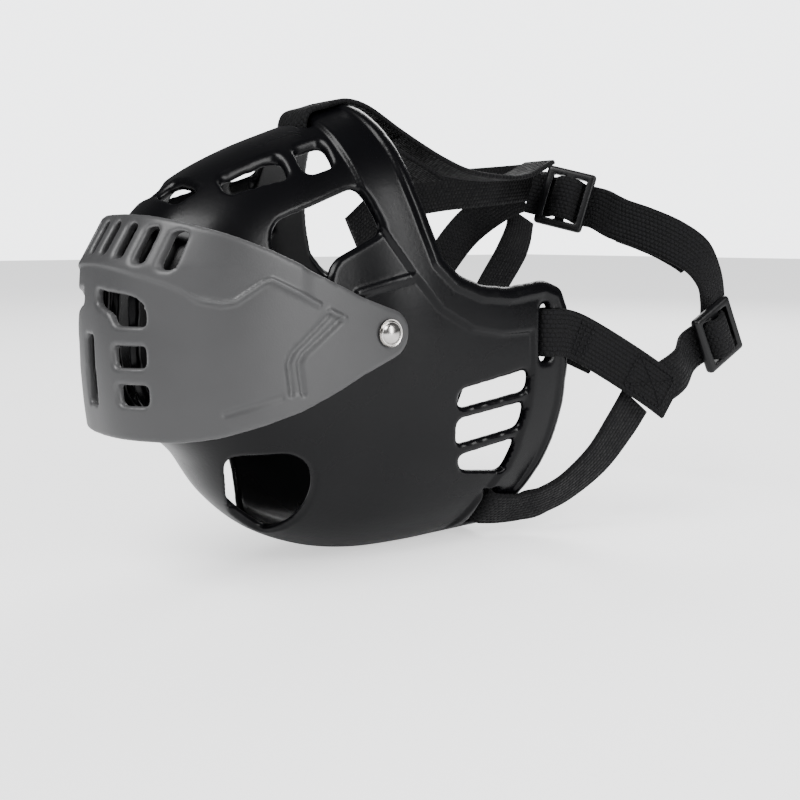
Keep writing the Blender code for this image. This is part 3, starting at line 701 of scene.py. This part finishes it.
def seam(name, steps, sign, wide=7.6):
    """A box of sewn thread with a cross in it, lying on the webbing."""
    off = sign * (WEB_T / 2 + 0.12)
    first, last = steps[0], steps[-1]

    def point(share, across):
        at = share * (len(steps) - 1)
        i = min(int(at), len(steps) - 2)
        a, b = steps[i], steps[i + 1]
        t = at - i
        mid = a[0].lerp(b[0], t)
        side, normal = a[1].lerp(b[1], t).normalized(), a[2].lerp(b[2], t).normalized()
        return mid + side * across + normal * off

    length = sum((b[0] - a[0]).length for a, b in zip(steps[:-1], steps[1:]))
    w = wide / 2
    box = [((0, -w), (1, -w)), ((1, -w), (1, w)), ((1, w), (0, w)), ((0, w), (0, -w))]
    runs = [*box, ((0, -w), (1, w)), ((0, w), (1, -w))]
    if length < 4:
        runs = [((0, -w), (0, w)), ((0.5, -w), (0.5, w)), ((1, -w), (1, w))]
    bm = bmesh.new()
    for (s0, a0), (s1, a1) in runs:
        span = (point(s1, a1) - point(s0, a0)).length
        count = max(2, round(span / 1.15))
        for k in range(count):
            t0, t1 = (k + 0.12) / count, (k + 0.88) / count
            start = point(s0 + (s1 - s0) * t0, a0 + (a1 - a0) * t0)
            end = point(s0 + (s1 - s0) * t1, a0 + (a1 - a0) * t1)
            mid = (start + end) / 2
            made = bmesh.ops.create_uvsphere(bm, u_segments=8, v_segments=6, radius=0.5)
            turn = (end - start).to_track_quat("Z", "Y").to_matrix().to_4x4()
            scale = Matrix.Diagonal((0.42, 0.42, (end - start).length, 1.0))
            bmesh.ops.transform(bm, matrix=Matrix.Translation(mid) @ turn @ scale, verts=made["verts"])
    for vert in bm.verts:
        vert.co = place(*vert.co)
    mesh = bpy.data.meshes.new(name)
    bm.to_mesh(mesh)
    bm.free()
    obj = link(name, mesh)
    shade(obj)
    return obj


# ---------------------------------------------------------------- sliders

def build_slider(name, site):
    """A tri-glide moulded with rounded bars and a grooved centre bar."""
    middle, run, wide, normal = slider_axes(site)

    def slab(u, v, t, half):
        verts = []
        for a, b, c in ((a, b, c) for a in (-1, 1) for b in (-1, 1) for c in (-1, 1)):
            p = middle + run * (u + a * half[0]) + wide * (v + b * half[1]) + normal * (t + c * half[2])
            verts.append(place(*p))
        return tidy(mesh_object("slab", verts, BOX_FACES), 0.000001)

    body = slab(0.0, 0.0, 0.0, (6.0, 7.2, 1.1))
    mod = body.modifiers.new("round", "BEVEL")
    mod.width = 0.9 * MM
    mod.segments = 4
    applied(body)
    body.name = name
    cutters = [slab(u, 0.0, 0.0, (1.5, 5.4, 4.0)) for u in (-2.6, 2.6)]
    cutters += [slab(u, 0.0, 1.35, (0.22, 4.6, 0.5)) for u in (-0.6, 0.0, 0.6)]
    carve(body, cutters)
    return mould(body, SLIDER_GRAIN, 3)


# ---------------------------------------------------------------- shader parts

def node(tree, kind, **values):
    made = tree.nodes.new(kind)
    for key, value in values.items():
        setattr(made, key, value)
    return made


def effect_group(name, inputs, outputs):
    tree = bpy.data.node_groups.new(name, "ShaderNodeTree")
    for label, kind, default in inputs:
        made = tree.interface.new_socket(label, in_out="INPUT", socket_type=kind)
        if default is not None:
            made.default_value = default
    for label, kind in outputs:
        tree.interface.new_socket(label, in_out="OUTPUT", socket_type=kind)
    return tree, node(tree, "NodeGroupInput"), node(tree, "NodeGroupOutput")


def maths(tree, operation, first, second=None, third=None, clamp=False):
    made = node(tree, "ShaderNodeMath", operation=operation, use_clamp=clamp)
    for i, value in enumerate((first, second, third)):
        if value is None:
            continue
        if isinstance(value, (int, float)):
            made.inputs[i].default_value = value
        else:
            tree.links.new(value, made.inputs[i])
    return made.outputs[0]


def noise(tree, vector, scale, detail=3.0, rough=0.55):
    made = node(tree, "ShaderNodeTexNoise")
    made.inputs["Scale"].default_value = scale
    made.inputs["Detail"].default_value = detail
    made.inputs["Roughness"].default_value = rough
    tree.links.new(vector, made.inputs["Vector"])
    return made.outputs["Fac"]


def moulded_skin_group():
    """Broad flow marks, a fine grain and an edge mask for a highlight painted along the edges of moulded
    plastic.
    """
    tree, start, end = effect_group(
        "moulded_skin",
        [("Flow Scale", "NodeSocketFloat", 60.0), ("Grain Scale", "NodeSocketFloat", 2600.0),
         ("Edge Width", "NodeSocketFloat", 0.0006)],
        [("Flow", "NodeSocketFloat"), ("Grain", "NodeSocketFloat"), ("Edge", "NodeSocketFloat")])
    spot = node(tree, "ShaderNodeTexCoord").outputs["Object"]
    flow = node(tree, "ShaderNodeTexNoise")
    grain = node(tree, "ShaderNodeTexNoise")
    for made, label, detail in ((flow, "Flow Scale", 3.0), (grain, "Grain Scale", 2.0)):
        made.inputs["Detail"].default_value = detail
        tree.links.new(spot, made.inputs["Vector"])
        tree.links.new(start.outputs[label], made.inputs["Scale"])
        tree.links.new(made.outputs["Fac"], end.inputs[label.split()[0]])
    bevel = node(tree, "ShaderNodeBevel", samples=4)
    tree.links.new(start.outputs["Edge Width"], bevel.inputs["Radius"])
    shape = node(tree, "ShaderNodeNewGeometry")
    dot = node(tree, "ShaderNodeVectorMath", operation="DOT_PRODUCT")
    tree.links.new(bevel.outputs["Normal"], dot.inputs[0])
    tree.links.new(shape.outputs["Normal"], dot.inputs[1])
    # Edge mask from the bevel normal; it places the painted edge highlight.
    painted_edge_highlight = maths(tree, "MULTIPLY", maths(tree, "SUBTRACT", 1.0, dot.outputs["Value"]), 5.0, clamp=True)
    tree.links.new(painted_edge_highlight, end.inputs["Edge"])
    return tree


def tape_weave_group():
    """Ribbed nylon tape: rows of short rounded floats, staggered from rib to rib, with stray lint, and a
    mask for shade painted into the gaps between the floats.
    """
    tree, start, end = effect_group(
        "tape_weave",
        [("Rib", "NodeSocketFloat", 0.95), ("Pick", "NodeSocketFloat", 1.0)],
        [("Height", "NodeSocketFloat"), ("Gap Shade", "NodeSocketFloat"), ("Tone", "NodeSocketFloat")])
    split = node(tree, "ShaderNodeSeparateXYZ")
    tree.links.new(node(tree, "ShaderNodeUVMap", uv_map="tape").outputs["UV"], split.inputs[0])
    across = maths(tree, "DIVIDE", split.outputs["X"], start.outputs["Rib"])
    along = maths(tree, "DIVIDE", split.outputs["Y"], start.outputs["Pick"])
    rib = maths(tree, "FLOOR", across)
    odd = maths(tree, "MODULO", maths(tree, "ABSOLUTE", rib), 2.0)
    shifted = maths(tree, "ADD", along, maths(tree, "MULTIPLY", odd, 0.5))
    swell = maths(tree, "ABSOLUTE", maths(tree, "SINE", maths(tree, "MULTIPLY", across, math.pi)))
    bead = maths(tree, "ABSOLUTE", maths(tree, "SINE", maths(tree, "MULTIPLY", shifted, math.pi)))
    swell = maths(tree, "POWER", swell, 0.6)
    bead = maths(tree, "POWER", bead, 0.55)
    height = maths(tree, "MULTIPLY", swell, bead)
    spot = node(tree, "ShaderNodeTexCoord").outputs["Object"]
    fuzz = noise(tree, spot, 5200.0, 3.0)
    cells = node(tree, "ShaderNodeTexWhiteNoise", noise_dimensions="2D")
    pair = node(tree, "ShaderNodeCombineXYZ")
    tree.links.new(rib, pair.inputs["X"])
    tree.links.new(maths(tree, "FLOOR", shifted), pair.inputs["Y"])
    tree.links.new(pair.outputs[0], cells.inputs["Vector"])
    tree.links.new(maths(tree, "ADD", height, maths(tree, "MULTIPLY", fuzz, 0.35)), end.inputs["Height"])
    # Gap mask: where painted shade darkens the colour between the floats.
    tree.links.new(maths(tree, "SUBTRACT", 1.0, height, clamp=True), end.inputs["Gap Shade"])
    tone = maths(tree, "MULTIPLY", cells.outputs["Value"], 0.6)
    tone = maths(tree, "ADD", tone, maths(tree, "MULTIPLY", fuzz, 0.4))
    tree.links.new(tone, end.inputs["Tone"])
    return tree


def new_finish(name):
    made = bpy.data.materials.new(name)
    made.use_nodes = True
    return made, made.node_tree, made.node_tree.nodes["Principled BSDF"]


def placed(tree, group, **values):
    made = node(tree, "ShaderNodeGroup")
    made.node_tree = group
    for key, value in values.items():
        made.inputs[key.replace("_", " ")].default_value = value
    return made


def blend_colour(tree, share, low, high):
    made = node(tree, "ShaderNodeMix", data_type="RGBA")
    made.inputs["A"].default_value = (*low, 1.0)
    if isinstance(high, tuple):
        made.inputs["B"].default_value = (*high, 1.0)
    else:
        tree.links.new(high, made.inputs["B"])
    tree.links.new(share, made.inputs["Factor"])
    return made.outputs["Result"]


def spread(tree, value, low, high, to_low, to_high):
    made = node(tree, "ShaderNodeMapRange")
    for label, number in (("From Min", low), ("From Max", high), ("To Min", to_low), ("To Max", to_high)):
        made.inputs[label].default_value = number
    tree.links.new(value, made.inputs["Value"])
    return made.outputs["Result"]


def bumped(tree, shader, height, strength, distance):
    made = node(tree, "ShaderNodeBump")
    made.inputs["Strength"].default_value = strength
    made.inputs["Distance"].default_value = distance
    tree.links.new(height, made.inputs["Height"])
    tree.links.new(made.outputs["Normal"], shader.inputs["Normal"])


def plastic(name, skin, colour, edge_highlight_colour, rough, flow_bump, grain, shine, coat, width):
    """Moulded plastic with flow marks, grain and a lighter colour painted along its edges as a highlight."""
    made, tree, shader = new_finish(name)
    mask = placed(tree, skin, Flow_Scale=55.0, Grain_Scale=grain, Edge_Width=width)
    deep = tuple(c * 0.8 for c in colour)
    body = blend_colour(tree, spread(tree, mask.outputs["Flow"], 0.3, 0.7, 0.0, 1.0), deep, colour)
    # The edge highlight colour is mixed in along the edges as a painted highlight.
    mix = node(tree, "ShaderNodeMix", data_type="RGBA")
    tree.links.new(body, mix.inputs["A"])
    mix.inputs["B"].default_value = (*edge_highlight_colour, 1.0)
    tree.links.new(mask.outputs["Edge"], mix.inputs["Factor"])
    tree.links.new(mix.outputs["Result"], shader.inputs["Base Color"])
    tree.links.new(spread(tree, mask.outputs["Flow"], 0.3, 0.7, *rough), shader.inputs["Roughness"])
    shader.inputs["Coat Weight"].default_value = coat
    shader.inputs["Coat Roughness"].default_value = 0.12
    shader.inputs["Specular IOR Level"].default_value = shine
    waves = maths(tree, "MULTIPLY", mask.outputs["Flow"], flow_bump)
    height = maths(tree, "ADD", waves, mask.outputs["Grain"])
    bumped(tree, shader, height, 0.25, 0.00006)
    return made


def nickel_finish():
    made, tree, shader = new_finish("rivet_nickel")
    spot = node(tree, "ShaderNodeTexCoord").outputs["Object"]
    cloud = noise(tree, spot, 900.0, 4.0)
    tree.links.new(blend_colour(tree, cloud, NICKEL_DULL, NICKEL_BRIGHT), shader.inputs["Base Color"])
    tree.links.new(spread(tree, cloud, 0.3, 0.7, 0.14, 0.3), shader.inputs["Roughness"])
    shader.inputs["Metallic"].default_value = 1.0
    bumped(tree, shader, noise(tree, spot, 2600.0, 3.0), 0.12, 0.00004)
    return made


def webbing_finish(weave):
    made, tree, shader = new_finish("black_webbing")
    mask = placed(tree, weave, Rib=0.95, Pick=1.05)
    lit = blend_colour(tree, mask.outputs["Tone"], WEBBING_DEEP, WEBBING_LIT)
    # Painted shade: the gaps between the floats are darkened to near black in the colour.
    mix = node(tree, "ShaderNodeMix", data_type="RGBA")
    tree.links.new(lit, mix.inputs["A"])
    mix.inputs["B"].default_value = (0.0008, 0.0008, 0.0008, 1.0)
    tree.links.new(spread(tree, mask.outputs["Gap Shade"], 0.45, 0.9, 0.0, 1.0), mix.inputs["Factor"])
    tree.links.new(mix.outputs["Result"], shader.inputs["Base Color"])
    tree.links.new(spread(tree, mask.outputs["Tone"], 0.2, 0.8, 0.62, 0.85), shader.inputs["Roughness"])
    shader.inputs["Specular IOR Level"].default_value = 0.16
    shader.inputs["Sheen Weight"].default_value = 0.02
    shader.inputs["Sheen Roughness"].default_value = 0.4
    bumped(tree, shader, mask.outputs["Height"], 1.0, 0.00022)
    return made


def thread_finish():
    made, tree, shader = new_finish("black_thread")
    spot = node(tree, "ShaderNodeTexCoord").outputs["Object"]
    ply = noise(tree, spot, 4200.0, 2.0)
    tree.links.new(blend_colour(tree, ply, THREAD_DEEP, THREAD_LIT), shader.inputs["Base Color"])
    shader.inputs["Roughness"].default_value = 0.7
    shader.inputs["Specular IOR Level"].default_value = 0.2
    bumped(tree, shader, ply, 0.6, 0.00008)
    return made


def floor_finish():
    made, tree, shader = new_finish("studio_floor")
    spot = node(tree, "ShaderNodeTexCoord").outputs["Object"]
    cloud = noise(tree, spot, 6.0, 3.0)
    tree.links.new(blend_colour(tree, cloud, FLOOR_LOW, FLOOR_HIGH), shader.inputs["Base Color"])
    shader.inputs["Roughness"].default_value = 0.7
    rays = node(tree, "ShaderNodeLightPath")
    shader.inputs["Emission Color"].default_value = (1.0, 1.0, 1.0, 1.0)
    glow = maths(tree, "MULTIPLY", rays.outputs["Is Camera Ray"], FLOOR_GLOW)
    tree.links.new(glow, shader.inputs["Emission Strength"])
    return made


def finish_piece(obj, material, body, slot, *nodes):
    obj.data.materials.clear()
    obj.data.materials.append(material)
    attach(obj, body)
    if nodes:
        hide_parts(*nodes)


# ---------------------------------------------------------------- assembly

def build_object():
    skin, weave = moulded_skin_group(), tape_weave_group()
    # The second colour of each plastic is the highlight painted along its edges.
    gloss = plastic("shell_black", skin, (0.0014, 0.0014, 0.002), (0.009, 0.009, 0.011),
                    (0.24, 0.32), 1.2, 1500.0, 0.17, 0.05, 0.0005)
    satin = plastic("visor_grey", skin, (0.044, 0.044, 0.045), (0.22, 0.22, 0.22),
                    (0.36, 0.46), 1.5, 2400.0, 0.5, 0.0, 0.0007)
    matte = plastic("slider_black", skin, (0.002, 0.002, 0.0025), (0.014, 0.014, 0.016),
                    (0.32, 0.42), 2.0, 2600.0, 0.26, 0.0, 0.0004)
    nickel, cloth, thread = nickel_finish(), webbing_finish(weave), thread_finish()

    finish_piece(build_shell(), gloss, "basket", "black_plastic", "basket_shell")
    finish_piece(build_visor(), satin, "visor", "grey_plastic", "visor")
    for side, sign in (("left", 1.0), ("right", -1.0)):
        head = turned(f"rivet_head_{side}", rivet_profile(), sign)
        finish_piece(head, nickel, "basket", "nickel", f"rivet_{side}")
        for kept in (f"rivet_cap_{side}", f"washer_{side}"):
            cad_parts[kept].data.materials.clear()
            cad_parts[kept].data.materials.append(nickel)

    count = 10
    routes = strap_routes()
    for name, (path, across) in routes.items():
        finish_piece(tape(f"{name}_tape", framed(path, across, count)), cloth, "basket", "webbing", name)
    path, turns = routes["neck_strap"]
    first = (len(NECK_FAR) + len(WEAVE)) * count + count // 4
    layer = tape("neck_inner_tape", framed(path, turns, count)[first:first + 3 * count], offset=-1.6)
    finish_piece(layer, cloth, "basket", "webbing", "neck_strap_inner")

    seams = (("forehead", "forehead_strap", 46, 50, 1.0), ("ear_left", "side_strap_left", 36, 39, 1.0),
             ("joint_left", "side_strap_left", 44, 51, 1.0), ("ear_right", "side_strap_right", 36, 39, -1.0))
    for tag, strap, start, end, sign in seams:
        path, across = routes[strap]
        steps = framed(path, across, 4)[start:end]
        finish_piece(seam(f"seam_{tag}", steps, sign), thread, "basket", "thread", f"stitch_{tag}")

    for name, site in (("top_slider", TOP_SLIDER), ("lower_slider", LOWER_SLIDER)):
        finish_piece(build_slider(f"{name}_moulding", site), matte, "basket", "slider_plastic", name)


# ---------------------------------------------------------------- studio

def area_light(name, spot, aim, size, power_w, tint=(1.0, 1.0, 1.0)):
    light = bpy.data.lights.new(name, "AREA")
    light.shape = "RECTANGLE"
    light.size, light.size_y = size
    light.energy = power_w
    light.color = tint
    obj = bpy.data.objects.new(name, light)
    bpy.context.scene.collection.objects.link(obj)
    obj.location = spot
    obj.rotation_euler = (Vector(aim) - Vector(spot)).to_track_quat("-Z", "Y").to_euler()


def build_studio():
    floor = mesh_object("studio_floor", [(-3, -3, 0), (3, -3, 0), (3, 3, 0), (-3, 3, 0)], [(0, 1, 2, 3)])
    floor.location.z = -0.0002
    floor.data.materials.append(floor_finish())
    world = bpy.data.worlds.new("studio_air")
    world.use_nodes = True
    tree, air = world.node_tree, world.node_tree.nodes["Background"]
    air.inputs["Color"].default_value = (0.97, 0.98, 1.0, 1.0)
    rays = node(tree, "ShaderNodeLightPath")
    strength = maths(tree, "MULTIPLY_ADD", rays.outputs["Is Camera Ray"], 3.2, 0.8)
    dimmer = maths(tree, "MULTIPLY_ADD", rays.outputs["Is Glossy Ray"], -0.68, strength)
    tree.links.new(dimmer, air.inputs["Strength"])
    bpy.context.scene.world = world
    aim = (0.0, 0.0, 0.03)
    area_light("key_softbox", (0.15, -0.45, 0.62), aim, (0.5, 0.35), 7.0)
    area_light("side_strip", (0.62, 0.15, 0.28), aim, (0.16, 0.5), 3.2)
    area_light("back_softbox", (-0.35, 0.5, 0.5), aim, (0.45, 0.3), 3.5)


def build_camera():
    azimuth, elevation, reach = math.radians(52.0), math.radians(9.0), 0.224
    back = Vector((math.sin(azimuth) * math.cos(elevation), -math.cos(azimuth) * math.cos(elevation),
                   math.sin(elevation)))
    lens = bpy.data.cameras.new("camera")
    lens.sensor_width = 36.0
    lens.lens = 36.0 * 1017.0 / 800.0
    lens.clip_start = 0.005
    camera = bpy.data.objects.new("camera", lens)
    bpy.context.scene.collection.objects.link(camera)
    camera.location = place(0.0, 0.0, 0.0) + back * reach
    camera.rotation_euler = (-back).to_track_quat("-Z", "Y").to_euler()
    bpy.context.scene.camera = camera


build_object()
build_studio()
build_camera()
